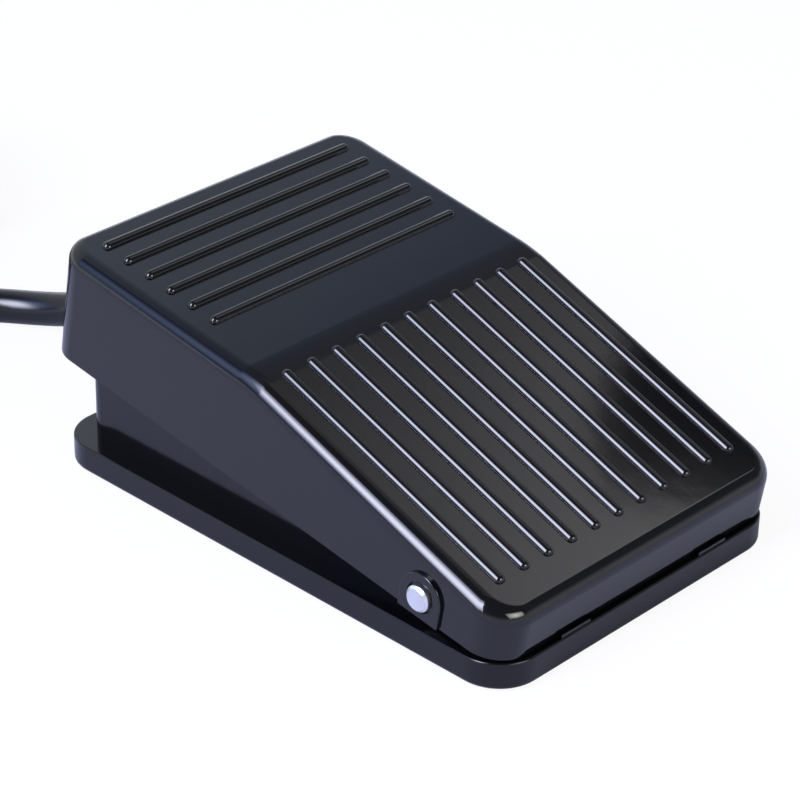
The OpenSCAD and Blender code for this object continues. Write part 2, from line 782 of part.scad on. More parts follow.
// The part of the lead inside the bush and under the clamp
module lead_inlet() {
  color(rubber_black) on_feet() translate([0, inlet_start, lead_h])
    along(bush_end - inlet_start, lead_d, lead_d);
}

module lead_clamp() {
  w = 2 * clamp_post_x + clamp_post_d + 2 * clamp_edge;
  color(shell_black) on_feet() translate([0, clamp_y, 0]) difference() {
    union() {
      translate([-w / 2, -clamp_l / 2, clamp_z]) cube([w, clamp_l, clamp_t]);
      translate([0, -clamp_l / 2, lead_h]) intersection() {
        along(clamp_l, clamp_arch_d, clamp_arch_d);
        translate([-clamp_arch_d, -1, gap]) cube([2 * clamp_arch_d, clamp_l + 2, clamp_arch_d]);
      }
    }
    translate([0, -clamp_l, lead_h]) along(2 * clamp_l, lead_d + 2 * lead_fit, lead_d + 2 * lead_fit);
    for (s = [-1, 1]) translate([s * clamp_post_x, 0, 0]) cylinder(d = case_hole_d, h = 3 * lead_h);
  }
}

module clamp_screws() {
  color(steel) on_feet() for (s = [-1, 1]) translate([s * clamp_post_x, clamp_y, clamp_z + clamp_t + 0.03])
    difference() {
      union() {
        cylinder(d = screw_head_d, h = screw_head_h);
        translate([0, 0, -8]) cylinder(d = screw_d, h = 8 + eps);
      }
      translate([0, 0, screw_head_h]) cube([4, 0.8, 1.6], center = true);
      translate([0, 0, screw_head_h]) cube([0.8, 4, 1.6], center = true);
    }
}

// A core runs from the lead's inner end to its sleeve in one easy curve
function core_path(a, z) =
  let (
    from = [1.45 * cos(a), inlet_start - gap, lead_h + 1.45 * sin(a)],
    to = [-case_x - 1, sleeve_y + sleeve_l + 0.2, z],
    reach = 5
  )
  [
    for (i = [0 : 14]) let (t = i / 14)
      pow(1 - t, 3) * from + 3 * t * pow(1 - t, 2) * (from - [0, reach, 0])
      + 3 * t * t * (1 - t) * (to + [0, reach, 0]) + pow(t, 3) * to,
    to - [0, 4, 0]
  ];

module common_wire() { color("saddlebrown") on_feet() sweep(core_path(300, terminal_z[0]), core_d / 2, 8); }
module closed_wire() { color("royalblue") on_feet() sweep(core_path(180, terminal_z[1]), core_d / 2, 8); }
module open_wire() { color("black") on_feet() sweep(core_path(60, terminal_z[2]), core_d / 2, 8); }

module lead() {
  color(rubber_black) sweep(ROUTE, lead_d / 2, 10);
}

// Closed outer form of the stored turns: two layers of two, and a last part turn on top
module lead_coil() {
  color(rubber_black) translate([coil_at[0], coil_at[1], tie_t]) {
    rotate_extrude($fn = 96) translate([coil_r - lead_d, 0]) union() {
      translate([0, lead_d / 2]) square([2 * lead_d, lead_d]);
      translate([lead_d / 2, 0]) square([lead_d, 2 * lead_d]);
      for (x = [0.5, 1.5], z = [0.5, 1.5]) translate([x * lead_d, z * lead_d]) circle(lead_d / 2);
    }
    rotate([0, 0, tail_from]) rotate_extrude(angle = tail_to - tail_from, $fn = 96)
      translate([coil_r, 1.5 * lead_d + lead_d * cos(30)]) circle(lead_d / 2);
  }
}

// Outline of the bundle: two layers, with the last part turn on top. m is a margin round it.
module bundle(m) {
  side = lead_d + m;
  top = 1.5 * lead_d + lead_d * cos(30) + lead_d / 2;
  polygon([
    [-side, -m], [side, -m], [side, 2 * lead_d], [lead_d / 2, top + m],
    [-lead_d / 2, top + m], [-side, 2 * lead_d]
  ]);
}

// Flat ties round the bundle, which the coil also rests on
module coil_ties() {
  color([0.1, 0.1, 0.1]) for (a = [165, 300])
    translate([coil_at[0], coil_at[1], tie_t]) rotate([0, 0, a]) translate([coil_r, tie_w / 2, 0])
      rotate([90, 0, 0]) linear_extrude(tie_w) difference() {
        bundle(tie_t);
        bundle(tie_fit);
      }
}

// The stripped end: three cores that lie on the coil past the end of the sheath
module lead_cores() {
  arc = core_l / coil_r * 180 / PI;
  z = tie_t + 2 * lead_d + core_d / 2 + gap;
  for (i = [-1 : 1]) color(["saddlebrown", "black", "royalblue"][i + 1])
    translate([coil_at[0], coil_at[1], z]) rotate([0, 0, tail_from - 0.3 - arc])
      rotate_extrude(angle = arc, $fn = 96) translate([coil_r + i * (core_d + gap), 0]) circle(core_d / 2);
}

base();
rubber_feet();
pedal_cover();
pivot_pin();
pin_clips();
pin_washers();
return_spring();
switch_case();
switch_lid();
switch_plunger();
switch_lever();
common_terminal();
open_terminal();
closed_terminal();
terminal_sleeves();
switch_screws();
switch_washers();
switch_nuts();
lead_bush();
lead_inlet();
lead_clamp();
clamp_screws();
common_wire();
open_wire();
closed_wire();
lead();
lead_coil();
coil_ties();
lead_cores();
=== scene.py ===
import json
import math

import bmesh
import bpy
from mathutils import Matrix, Vector


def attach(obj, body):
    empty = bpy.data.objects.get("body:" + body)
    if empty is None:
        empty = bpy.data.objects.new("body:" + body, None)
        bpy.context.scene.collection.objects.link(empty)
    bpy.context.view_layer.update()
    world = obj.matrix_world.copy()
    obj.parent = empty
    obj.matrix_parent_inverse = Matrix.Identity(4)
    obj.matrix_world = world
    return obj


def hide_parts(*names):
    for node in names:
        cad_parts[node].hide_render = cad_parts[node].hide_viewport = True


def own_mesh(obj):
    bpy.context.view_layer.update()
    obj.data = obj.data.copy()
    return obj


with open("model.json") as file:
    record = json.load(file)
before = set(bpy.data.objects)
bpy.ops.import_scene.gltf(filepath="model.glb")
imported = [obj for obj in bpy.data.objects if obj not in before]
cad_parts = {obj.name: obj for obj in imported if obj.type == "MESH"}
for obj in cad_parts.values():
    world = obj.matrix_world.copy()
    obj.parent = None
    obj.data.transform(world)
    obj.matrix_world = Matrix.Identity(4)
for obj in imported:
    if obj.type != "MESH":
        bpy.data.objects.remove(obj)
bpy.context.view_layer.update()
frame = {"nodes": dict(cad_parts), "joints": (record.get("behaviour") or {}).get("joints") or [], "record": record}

mm = 0.001
hinge = Vector(next(j["pos_m"] for j in frame["joints"] if j["name"] == "pedal_press"))


def deselect():
    if bpy.context.mode != "OBJECT":
        bpy.ops.object.mode_set(mode="OBJECT")
    bpy.ops.object.select_all(action="DESELECT")


def pick(*objects):
    deselect()
    for obj in objects:
        obj.select_set(True)
    bpy.context.view_layer.objects.active = objects[0]


def named(name):
    obj = bpy.context.active_object
    obj.name = name
    obj.data.name = name
    return obj


def settle(obj):  # place, turn and size go into the mesh
    pick(obj)
    bpy.ops.object.transform_apply(location=True, rotation=True, scale=True)
    return obj


def addBlock(name, low, high):
    deselect()
    middle = [(a + b) / 2 for a, b in zip(low, high)]
    bpy.ops.mesh.primitive_cube_add(size=1, location=middle)
    obj = named(name)
    obj.scale = [b - a for a, b in zip(low, high)]
    return settle(obj)


def addRod(name, start, end, radius, sides=48):
    deselect()
    start, end = Vector(start), Vector(end)
    depth = (end - start).length
    bpy.ops.mesh.primitive_cylinder_add(vertices=sides, radius=radius, depth=depth)
    obj = named(name)
    obj.rotation_mode = "QUATERNION"
    obj.rotation_quaternion = (end - start).to_track_quat("Z", "Y")
    obj.location = (start + end) / 2
    return settle(obj)


def choose(obj, test, kind="EDGE"):
    # goes to edit mode with only the wanted edges, faces or points selected
    pick(obj)
    bpy.ops.object.mode_set(mode="EDIT")
    bpy.ops.mesh.select_mode(type=kind)
    bpy.ops.mesh.select_all(action="DESELECT")
    mesh = bmesh.from_edit_mesh(obj.data)
    mesh.normal_update()
    for part in {"EDGE": mesh.edges, "FACE": mesh.faces, "VERT": mesh.verts}[kind]:
        if test(part):
            part.select = True
    mesh.select_flush_mode()
    bmesh.update_edit_mesh(obj.data)


def chooseAll(obj, kind="FACE"):
    choose(obj, lambda part: True, kind)


def done():
    bpy.ops.object.mode_set(mode="OBJECT")


def turnOutwards(obj):
    chooseAll(obj)
    bpy.ops.mesh.normals_make_consistent(inside=False)
    done()


def apply(obj, kind, **settings):
    pick(obj)
    modifier = obj.modifiers.new(kind.title(), kind)
    for key, value in settings.items():
        setattr(modifier, key, value)
    bpy.ops.object.modifier_apply(modifier=modifier.name)


def cut(obj, tool):
    apply(obj, "BOOLEAN", object=tool, operation="DIFFERENCE", solver="EXACT")
    bpy.data.objects.remove(tool)


def twin(obj, name, move):
    copy = obj.copy()
    copy.data = obj.data.copy()
    copy.name = name
    copy.data.transform(move)
    bpy.context.scene.collection.objects.link(copy)
    return copy


def joined(*objects):
    pick(*objects)
    bpy.ops.object.join()
    return bpy.context.active_object


def near(a, b, slack=0.01):
    return abs(a - b) < slack


def smoothLine(spots, step):  # a smooth line through the given points, at about that spacing
    out = []
    points = [Vector(p) for p in spots]
    for i in range(len(points) - 1):
        a, b, c = points[max(i - 1, 0)], points[i], points[i + 1]
        d = points[min(i + 2, len(points) - 1)]
        n = max(1, round((c - b).length / step))
        for k in range(n):
            t = k / n
            out.append(0.5 * (2 * b + (c - a) * t + (2 * a - 5 * b + 4 * c - d) * t ** 2
                              + (3 * b - a - 3 * c + d) * t ** 3))
    return out + [points[-1]]


def addLine(name, points):
    curve = bpy.data.curves.new(name, "CURVE")
    curve.dimensions = "3D"
    line = curve.splines.new("POLY")
    line.points.add(len(points) - 1)
    for spot, p in zip(line.points, points):
        spot.co = (*p, 1)
    obj = bpy.data.objects.new(name, curve)
    bpy.context.scene.collection.objects.link(obj)
    return obj


def addTube(name, points, radius, resolution):
    obj = addLine(name, points)
    obj.data.bevel_depth = radius
    obj.data.bevel_resolution = resolution
    obj.data.use_fill_caps = True
    return obj


def meshed(obj):
    pick(obj)
    bpy.ops.object.convert(target="MESH")
    return bpy.context.active_object


def paint(obj, material):
    obj.data.materials.clear()
    obj.data.materials.append(material)


# angles in degrees, lens in millimetres, the rest in metres; right and up slide the camera, and
# aim is the height that it looks at
view = {"azimuth": -46.932, "elevation": 29.6384, "roll": 1.3178, "distance": 487.415 * mm,
        "lens": 135.707, "right": -1.9782 * mm, "up": 2.4497 * mm, "aim": 15.4 * mm,
        "nearest": 0.01, "farthest": 20}


def placeCamera():
    a, e, r = (math.radians(view[k]) for k in ("azimuth", "elevation", "roll"))
    back = Vector((math.sin(a) * math.cos(e), -math.cos(a) * math.cos(e), math.sin(e)))
    level = Vector((math.cos(a), math.sin(a), 0))
    above = back.cross(level)
    right = level * math.cos(r) + above * math.sin(r)
    up = above * math.cos(r) - level * math.sin(r)
    data = bpy.data.cameras.new("camera")
    data.sensor_width = 36
    data.lens = view["lens"]
    data.clip_start, data.clip_end = view["nearest"], view["farthest"]
    camera = bpy.data.objects.new("camera", data)
    slide = right * view["right"] + up * view["up"]
    place = slide + Vector((0, 0, view["aim"])) + back * view["distance"]
    turn = Matrix((right, up, back)).transposed().to_4x4()
    camera.matrix_world = Matrix.Translation(place) @ turn
    bpy.context.scene.collection.objects.link(camera)
    bpy.context.scene.camera = camera


placeCamera()
print("camera placed")


# radius and overall in metres, the other lengths in mm, angles in degrees
lead = {"radius": 3.1 * mm, "overall": 0.92, "coilMiddle": (-13.4, 154.6), "turn": 31,
        "rest": 0.8, "firstAngle": 218.2, "joinAngle": 8, "routeStep": 2, "coilStep": 5,
        "resolution": 7}

# the stretch past the sheath's end: the cores start tuck degrees inside it, dip below its middle
# and closeness apart, and at settledAt of the way they lie on the coil, further apart by spread
stripped = {"length": 45, "core": 1.9, "bare": 8, "tuck": 1, "dip": 1, "closeness": 1.3,
            "spread": 0.7, "settledAt": 0.25, "lift": 0.1, "points": 24, "lap": 1.3,
            "strandShare": 0.29}

leadRoute = [
    (0, 60, 10.6), (0, 62, 10.6), (-0.3, 65, 10.2), (-0.6, 68, 9.5), (-1.2, 72, 8.2),
    (-1.9, 76, 6.7), (-2.7, 80, 5.3), (-3.8, 84, 4.2), (-5.4, 88, 3.5), (-7.7, 92, 3.2),
    (-10.6, 96, 3.1), (-15, 101.6, 3.1), (-20, 107.9, 3.1), (-25, 114.3, 3.2),
    (-30, 120.6, 3.4), (-35, 126.9, 3.7), (-40.2, 133.5, 3.9),
]


def coilSpot(angle, outward, height):
    x, y = lead["coilMiddle"]
    a = math.radians(lead["firstAngle"] - angle)
    r = lead["turn"] + outward
    return Vector((x + r * math.cos(a), y + r * math.sin(a), lead["rest"] + height))


def coilStations():  # (turned through, outward, height): two layers of two turns, then part of one
    r = lead["radius"] / mm
    top = 3 * r + 2 * r * math.cos(math.radians(30))
    return [(0, r, r), (315, r, r), (360, -r, r), (630, -r, r), (675, -r, 3 * r),
            (945, -r, 3 * r), (990, r, 3 * r), (1260, r, 3 * r), (1305, 0, top), (1524, 0, top)]


def easeInOut(t):
    return t * t * (3 - 2 * t)


def coilLine():
    out = []
    stations = coilStations()
    for (a0, r0, z0), (a1, r1, z1) in zip(stations, stations[1:]):
        n = round((a1 - a0) / lead["coilStep"])
        for k in range(n):
            t = k / n
            s = easeInOut(t)
            out.append(coilSpot(a0 + (a1 - a0) * t, r0 + (r1 - r0) * s, z0 + (z1 - z0) * s))
    return out + [coilSpot(*stations[-1])]


def makeLead():
    route = [Vector(p) for p in leadRoute]
    r = lead["radius"] / mm
    line = smoothLine(route + [coilSpot(lead["joinAngle"], r, r)], lead["routeStep"])
    last = max(i for i, p in enumerate(line) if (p - route[-1]).length < 1e-4)
    line = line[:last] + coilLine()
    return addTube("leadSheath", [p * mm for p in line], lead["radius"], lead["resolution"])


def coreLine(side):  # from inside the sheath's end, down onto the coil
    s = stripped
    start, outward, height = coilStations()[-1]
    sweep = math.degrees(s["length"] / lead["turn"])
    low = 4 * lead["radius"] / mm + s["core"] / 2 + s["lift"]
    for k in range(s["points"] + 1):
        t = k / s["points"]
        drop = easeInOut(min(1, t / s["settledAt"]))
        yield (start - s["tuck"] + (sweep + s["tuck"]) * t,
               outward + side * (s["closeness"] + s["spread"] * drop),
               height - s["dip"] + (low - height + s["dip"]) * drop)


def makeCores():
    s = stripped
    start = coilStations()[-1][0]
    bareSweep = math.degrees(s["bare"] / lead["turn"])
    end = start + math.degrees(s["length"] / lead["turn"])
    parts = []
    for side, word in ((-1, "brown"), (0, "black"), (1, "blue")):
        spots = list(coreLine(side))
        line = [coilSpot(*spot) * mm for spot in spots if spot[0] <= end - bareSweep]
        tip = [coilSpot(*spot) * mm for spot in spots if spot[0] >= end - bareSweep * s["lap"]]
        core = addTube("core" + word.title(), line, s["core"] / 2 * mm, resolution=4)
        strands = addTube("strands" + word.title(), tip, s["core"] * s["strandShare"] * mm,
                          resolution=3)
        parts += [(meshed(core), "core_" + word), (meshed(strands), "copper")]
    return parts


sheath = makeLead()
coreParts = makeCores()
print("lead laid")


class Link:  # a socket that takes part in sums
    def __init__(self, nodes, socket):
        self.nodes, self.socket = nodes, socket

    def maths(self, operation, first, second):
        return self.nodes.node("ShaderNodeMath", {"operation": operation}, {0: first, 1: second})

    def __add__(self, other):
        return self.maths("ADD", self, other)

    def __radd__(self, other):
        return self.maths("ADD", other, self)

    def __mul__(self, other):
        return self.maths("MULTIPLY", self, other)

    def __rmul__(self, other):
        return self.maths("MULTIPLY", other, self)


class Nodes:  # a material's or the world's nodes
    coordinates = {"generated": 0, "uv": 2, "object": 3}

    def __init__(self, tree):
        self.tree = tree

    def put(self, sockets, key, value):
        if isinstance(value, Link):
            self.tree.links.new(value.socket, sockets[key])
        else:
            sockets[key].default_value = value

    def node(self, kind, settings=None, sockets=None, out=0):
        made = self.tree.nodes.new(kind)
        for key, value in (settings or {}).items():
            if key == "stops":
                ramp = made.color_ramp
                while len(ramp.elements) < len(value):
                    ramp.elements.new(0.5)
                for stop, (at, colour) in zip(ramp.elements, value):
                    stop.position, stop.color = at, colour
            else:
                setattr(made, key, value)
        for key, value in (sockets or {}).items():
            self.put(made.inputs, key, value)
        return Link(self, made.outputs[out])

    def where(self, kind):
        return self.node("ShaderNodeTexCoord", out=self.coordinates[kind])

    def axis(self, vector, number):
        return self.node("ShaderNodeSeparateXYZ", {}, {"Vector": vector}, out=number)

    def place(self, scale=(1, 1, 1)):
        spot = self.where("object")
        return self.node("ShaderNodeMapping", {}, {"Vector": spot, "Scale": scale})

    def noise(self, where, scale, detail=3, roughness=0.5):
        return self.node("ShaderNodeTexNoise", {}, {"Vector": where, "Scale": scale,
                                                    "Detail": detail, "Roughness": roughness})

    def mix(self, share, first, second, blend="MIX"):
        return self.node("ShaderNodeMix", {"data_type": "RGBA", "blend_type": blend},
                         {0: share, 6: first, 7: second}, out=2)

    def ramp(self, where, stops):
        return self.node("ShaderNodeValToRGB", {"stops": stops}, {"Fac": where})

    def bump(self, height, distance, strength, under=None):
        sockets = {"Height": height, "Distance": distance, "Strength": strength}
        if under:
            sockets["Normal"] = under
        return self.node("ShaderNodeBump", {}, sockets)


class Finish(Nodes):  # a material under construction
    def __init__(self, name, fixed=None):
        self.material = bpy.data.materials.new(name)
        self.material.use_nodes = True
        super().__init__(self.material.node_tree)
        self.shader = self.tree.nodes["Principled BSDF"]
        self.set(fixed or {})

    def set(self, values):
        for key, value in values.items():
            self.put(self.shader.inputs, key, value)
        return self.material


def grey(value, blue=1.0):
    return (value, value, value * blue, 1)


def darker(colour, share):
    return tuple(c * share for c in colour[:3]) + (1,)


def makeShellFinish(name, satin, gloss):  # polished black plastic, with the slight waves of its mould
    f = Finish(name, {"IOR": gloss})
    where = f.place()
    broad = f.noise(where, 45, 2)
    fine = f.noise(where, 2600, 2, 0.6)
    waves = f.noise(where, 210, 2, 0.4)
    skin = f.bump(waves, 0.03 * mm, 0.3)
    return f.set({"Base Color": f.mix(broad, (0.0016, 0.0017, 0.0024, 1), (0.0026, 0.0028, 0.0036, 1)),
                  "Roughness": 0.05 + satin + broad * 0.03 + fine * 0.02,
                  "Normal": f.bump(fine, 0.008 * mm, 0.2, skin)})


def makeRubberFinish(name, tone, rough):
    f = Finish(name, {"IOR": 1.5})
    where = f.place()
    speck = f.noise(where, 1500, 4, 0.6)
    cloud = f.noise(where, 60, 3)
    return f.set({"Base Color": f.mix(cloud, grey(tone * 0.8, 1.05), grey(tone * 1.25, 1.08)),
                  "Roughness": rough + cloud * 0.12,
                  "Normal": f.bump(speck, 0.04 * mm, 0.4)})


def makeSheathFinish(name):
    f = Finish(name, {"IOR": 1.5})
    where = f.place()
    cloud = f.noise(where, 70, 3)
    grain = f.noise(where, 900, 3, 0.6)
    return f.set({"Base Color": f.mix(cloud, (0.0018, 0.0019, 0.0026, 1), (0.0040, 0.0042, 0.0055, 1)),
                  "Roughness": 0.15 + cloud * 0.07,
                  "Normal": f.bump(grain, 0.02 * mm, 0.3)})


def makeMetalFinish(name, colour, rough):  # drawn or rolled: the grain runs along X
    f = Finish(name, {"Metallic": 1.0})
    grain = f.noise(f.place((40, 900, 900)), 1.0, 3, 0.6)
    cloud = f.noise(f.place(), 400, 3)
    return f.set({"Base Color": f.mix(cloud * 0.6, colour, darker(colour, 0.72)),
                  "Roughness": rough + grain * 0.12 + cloud * 0.08,
                  "Normal": f.bump(grain, 0.01 * mm, 0.3)})


def makePlasticFinish(name, colour, rough):
    f = Finish(name, {"IOR": 1.48})
    where = f.place()
    cloud = f.noise(where, 300, 3)
    fine = f.noise(where, 3000, 2, 0.6)
    return f.set({"Base Color": f.mix(cloud, colour, darker(colour, 0.8)),
                  "Roughness": rough + cloud * 0.1,
                  "Normal": f.bump(fine, 0.01 * mm, 0.4)})


def makeStrandFinish(name):  # slanting bands stand for the twist of fine wires
    f = Finish(name, {"Metallic": 1.0})
    spot = f.where("object")
    weave = f.node("ShaderNodeTexWave", {"wave_type": "BANDS", "bands_direction": "DIAGONAL"},
                   {"Vector": spot, "Scale": 900.0, "Distortion": 0.6}, out=1)
    cloud = f.noise(spot, 700, 2)
    return f.set({"Base Color": f.mix(cloud, (0.85, 0.42, 0.25, 1), (0.65, 0.27, 0.14, 1)),
                  "Roughness": 0.25 + cloud * 0.15,
                  "Normal": f.bump(weave, 0.08 * mm, 0.8)})


# one finish for each material slot of the record, and copper for the bare strands
finishes = {
    "shell_pedal": makeShellFinish("pedalPlastic", 0.0, 1.52),
    "shell_base": makeShellFinish("basePlastic", 0.06, 1.44),
    "foot_rubber": makeRubberFinish("footRubber", 0.022, 0.62),
    "bush_rubber": makeRubberFinish("bushRubber", 0.02, 0.5),
    "lead_sheath": makeSheathFinish("sheathPlastic"),
    "zinc_pin": makeMetalFinish("zincPlate", (0.86, 0.88, 0.91, 1), 0.24),
    "spring_steel": makeMetalFinish("springSteel", (0.60, 0.61, 0.63, 1), 0.26),
    "bright_steel": makeMetalFinish("brightSteel", (0.74, 0.75, 0.77, 1), 0.22),
    "terminal_brass": makeMetalFinish("terminalBrass", (0.82, 0.63, 0.30, 1), 0.28),
    "white_nylon": makePlasticFinish("washerNylon", (0.80, 0.79, 0.74, 1), 0.42),
    "switch_plastic": makePlasticFinish("switchPlastic", (0.022, 0.022, 0.025, 1), 0.46),
    "plunger_plastic": makePlasticFinish("plungerPlastic", (0.50, 0.045, 0.035, 1), 0.34),
    "sleeve_vinyl": makePlasticFinish("sleeveVinyl", (0.42, 0.05, 0.045, 1), 0.38),
    "clamp_nylon": makePlasticFinish("clampNylon", (0.02, 0.02, 0.022, 1), 0.44),
    "tie_nylon": makePlasticFinish("tieNylon", (0.018, 0.018, 0.02, 1), 0.4),
    "core_brown": makePlasticFinish("coreBrown", (0.16, 0.06, 0.03, 1), 0.36),
    "core_black": makePlasticFinish("coreBlack", (0.015, 0.015, 0.017, 1), 0.36),
    "core_blue": makePlasticFinish("coreBlue", (0.02, 0.10, 0.38, 1), 0.36),
    "copper": makeStrandFinish("copperStrands"),
}

for part in frame["record"]["subparts"]:
    paint(frame["nodes"][part["node"]], finishes[part["material_slot"]])
print("finishes mixed")

paint(sheath, finishes["lead_sheath"])
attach(sheath, "base")
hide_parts("lead", "lead_coil")
for piece, finish in coreParts:
    paint(piece, finishes[finish])
    pick(piece)
    bpy.ops.object.shade_smooth()
strippedEnd = joined(*[piece for piece, finish in coreParts])
strippedEnd.name = "strippedEnd"
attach(strippedEnd, "base")
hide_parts("lead_cores")


# mm from the hinge pin, with the flat top level; softness is the radius of the crease
pedal = {"width": 66.4, "rear": 84.9, "front": -16.1, "top": 16.3, "lower": -3.6, "crease": 40.0,
         "slope": 0.2085, "wall": 2.2, "corner": 6.2, "rearCorner": 5.2, "softness": 26,
         "tilt": 8.8, "sideRim": 2.8, "rearRim": 1.6, "frontRim": 2.2, "leastRim": 0.5,
         "hole": 4.5, "ring": 5.3, "ringDeep": 0.5, "padRadius": 4.1, "padThick": 0.6,
         "padRoot": 0.8, "padEdge": 0.22, "archRadius": 6.2, "archHeight": -1.45,
         "tabX": 16.3, "tabWidth": 7.4, "tabHeight": 0.6,
         "cornerSteps": 14, "creaseSteps": 8, "rimSteps": 10, "roundSides": 64}


def makePedalForm(inset, lower):  # the closed outer form, or the same form with all sides moved in
    p = pedal
    w, front, rear = p["width"] / 2 - inset, p["front"] + inset, p["rear"] - inset
    top = p["top"] - inset
    sideRim, rearRim, frontRim = (max(p[k] - inset, p["leastRim"])
                                  for k in ("sideRim", "rearRim", "frontRim"))
    form = addBlock("pedalForm", (-w, front, lower), (w, rear, top))
    chooseAll(form)
    bpy.ops.mesh.bisect(plane_co=(0, p["crease"], 0), plane_no=(0, 1, 0))
    done()
    choose(form, lambda v: near(v.co.y, front) and near(v.co.z, top), "VERT")
    bpy.ops.transform.translate(value=(0, 0, -p["slope"] * (p["crease"] - front)))
    done()
    # the cut runs all round, and only its top edge is wanted
    choose(form, lambda e: all(near(v.co.y, p["crease"]) for v in e.verts)
           and not all(near(v.co.z, top) for v in e.verts))
    bpy.ops.mesh.dissolve_edges(use_verts=True)
    done()
    for end, corner in ((front, p["corner"]), (rear, p["rearCorner"])):
        choose(form, lambda e: near(abs(e.verts[0].co.x), w)
               and near(e.verts[0].co.x, e.verts[1].co.x)
               and all(near(v.co.y, end) for v in e.verts))
        bpy.ops.mesh.bevel(offset=corner - inset, segments=p["cornerSteps"], affect="EDGES",
                           clamp_overlap=False)
        done()
    soft = p["softness"] * math.tan(math.atan(p["slope"]) / 2)
    choose(form, lambda e: all(near(v.co.y, p["crease"]) and near(v.co.z, top) for v in e.verts))
    bpy.ops.mesh.bevel(offset=soft, segments=p["creaseSteps"], affect="EDGES",
                       clamp_overlap=False)
    done()
    # the rim's edges lie between the top and the sides; it is rounder along the sides than at
    # the ends, and turns from one to the other round the corners
    choose(form, lambda e: len(e.link_faces) == 2
           and max(f.normal.z for f in e.link_faces) > 0.5
           and abs(min(f.normal.z for f in e.link_faces)) < 0.3)
    widest = 4  # a weight is a share of this width
    mesh = bmesh.from_edit_mesh(form.data)
    weight = mesh.edges.layers.float.new("bevel_weight_edge")
    for e in mesh.edges:
        if e.select:
            out = min((f.normal for f in e.link_faces), key=lambda n: n.z)
            end = rearRim if out.y > 0 else frontRim
            e[weight] = (sideRim * out.x ** 2 + end * out.y ** 2) / widest
    bmesh.update_edit_mesh(form.data)
    done()
    apply(form, "BEVEL", width=widest, segments=p["rimSteps"], limit_method="WEIGHT",
          use_clamp_overlap=False)
    chooseAll(form)
    bpy.ops.mesh.remove_doubles(threshold=0.001)
    bpy.ops.mesh.normals_make_consistent(inside=False)
    done()
    return form


def makePad(side):  # the raised place round the pin's end: round above, straight below
    p = pedal
    face = side * (p["width"] / 2 + p["padThick"])
    root = side * (p["width"] / 2 - p["padRoot"])
    pad = addRod("pad", (root, 0, 0), (face, 0, 0), p["padRadius"], p["roundSides"])
    chooseAll(pad)
    bpy.ops.mesh.bisect(plane_co=(0, 0, 0), plane_no=(0, 0, 1), clear_inner=True)
    done()
    choose(pad, lambda e: len(e.link_faces) == 1)
    bpy.ops.mesh.extrude_region_move(TRANSFORM_OT_translate={"value": (0, 0, p["lower"])})
    bpy.ops.mesh.edge_face_add()
    done()
    turnOutwards(pad)
    choose(pad, lambda e: all(near(v.co.x, face) for v in e.verts)
           and not all(near(v.co.z, p["lower"]) for v in e.verts))
    bpy.ops.mesh.bevel(offset=p["padEdge"], segments=3, affect="EDGES")
    done()
    return pad


# sunk is how far a bead's axis lies below the surface, and foot the fillet where they meet
bead = {"radius": 0.95, "sunk": 0.15, "foot": 0.03, "footReach": 0.02, "root": -0.1,
        "crestSteps": 10, "footSteps": 5, "endSteps": 20,
        "crossLength": 55.6, "crossCount": 6, "crossPitch": 5.05, "crossSetback": 5.2,
        "longFront": 9.7, "longRear": 38.7, "longCount": 11, "longPitch": 5.42}


def beadOutline():  # from the crest out and down, through the foot's fillet, into the surface
    b = bead
    r, f, s = b["radius"], b["foot"], b["sunk"]
    reach = math.sqrt((r + f) ** 2 - (f + s) ** 2)
    turn = math.atan2(reach, f + s)
    crest = [turn * k / b["crestSteps"] for k in range(b["crestSteps"] + 1)]
    foot = [turn * k / b["footSteps"] for k in range(b["footSteps"] - 1, -1, -1)]
    return ([(r * math.sin(a), 0, r * math.cos(a) - s) for a in crest]
            + [(reach - f * math.sin(a), 0, f - f * math.cos(a)) for a in foot]
            + [(reach + b["footReach"], 0, b["root"])])


def makeBead(name, length):  # a domed end, drawn out to half the length, and mirrored
    half = length / 2 - bead["radius"]
    obj = meshed(addLine(name, beadOutline()))
    chooseAll(obj, "VERT")
    bpy.ops.mesh.spin(steps=bead["endSteps"], angle=math.pi, center=(0, 0, 0), axis=(0, 0, 1))
    done()
    chooseAll(obj, "VERT")
    bpy.ops.mesh.remove_doubles(threshold=0.001)
    done()
    choose(obj, lambda e: len(e.link_faces) == 1
           and all(near(v.co.y, 0, 0.001) for v in e.verts))
    bpy.ops.mesh.extrude_region_move(TRANSFORM_OT_translate={"value": (0, half, 0)})
    done()
    obj.data.transform(Matrix.Translation((0, -half, 0)))
    apply(obj, "MIRROR", use_axis=(False, True, False), merge_threshold=0.001)
    choose(obj, lambda e: len(e.link_faces) == 1)
    bpy.ops.mesh.edge_face_add()
    done()
    turnOutwards(obj)
    obj.data.transform(Matrix.Translation((0, length / 2, 0)))
    return obj


def makeBeads():
    b, p = bead, pedal
    beads = []
    cross = makeBead("crossBead", b["crossLength"])
    for i in range(b["crossCount"]):
        y = p["rear"] - b["crossSetback"] - i * b["crossPitch"]
        place = Matrix.Translation((b["crossLength"] / 2, y, p["top"]))
        beads.append(twin(cross, "crossBead", place @ Matrix.Rotation(math.pi / 2, 4, "Z")))
    bpy.data.objects.remove(cross)
    angle = math.atan(p["slope"])
    long = makeBead("longBead", (b["longRear"] + b["longFront"]) / math.cos(angle))
    z = p["top"] - p["slope"] * (p["crease"] + b["longFront"])
    for i in range(b["longCount"]):
        x = (i - (b["longCount"] - 1) / 2) * b["longPitch"]
        place = Matrix.Translation((x, -b["longFront"], z))
        beads.append(twin(long, "longBead", place @ Matrix.Rotation(angle, 4, "X")))
    bpy.data.objects.remove(long)
    return beads


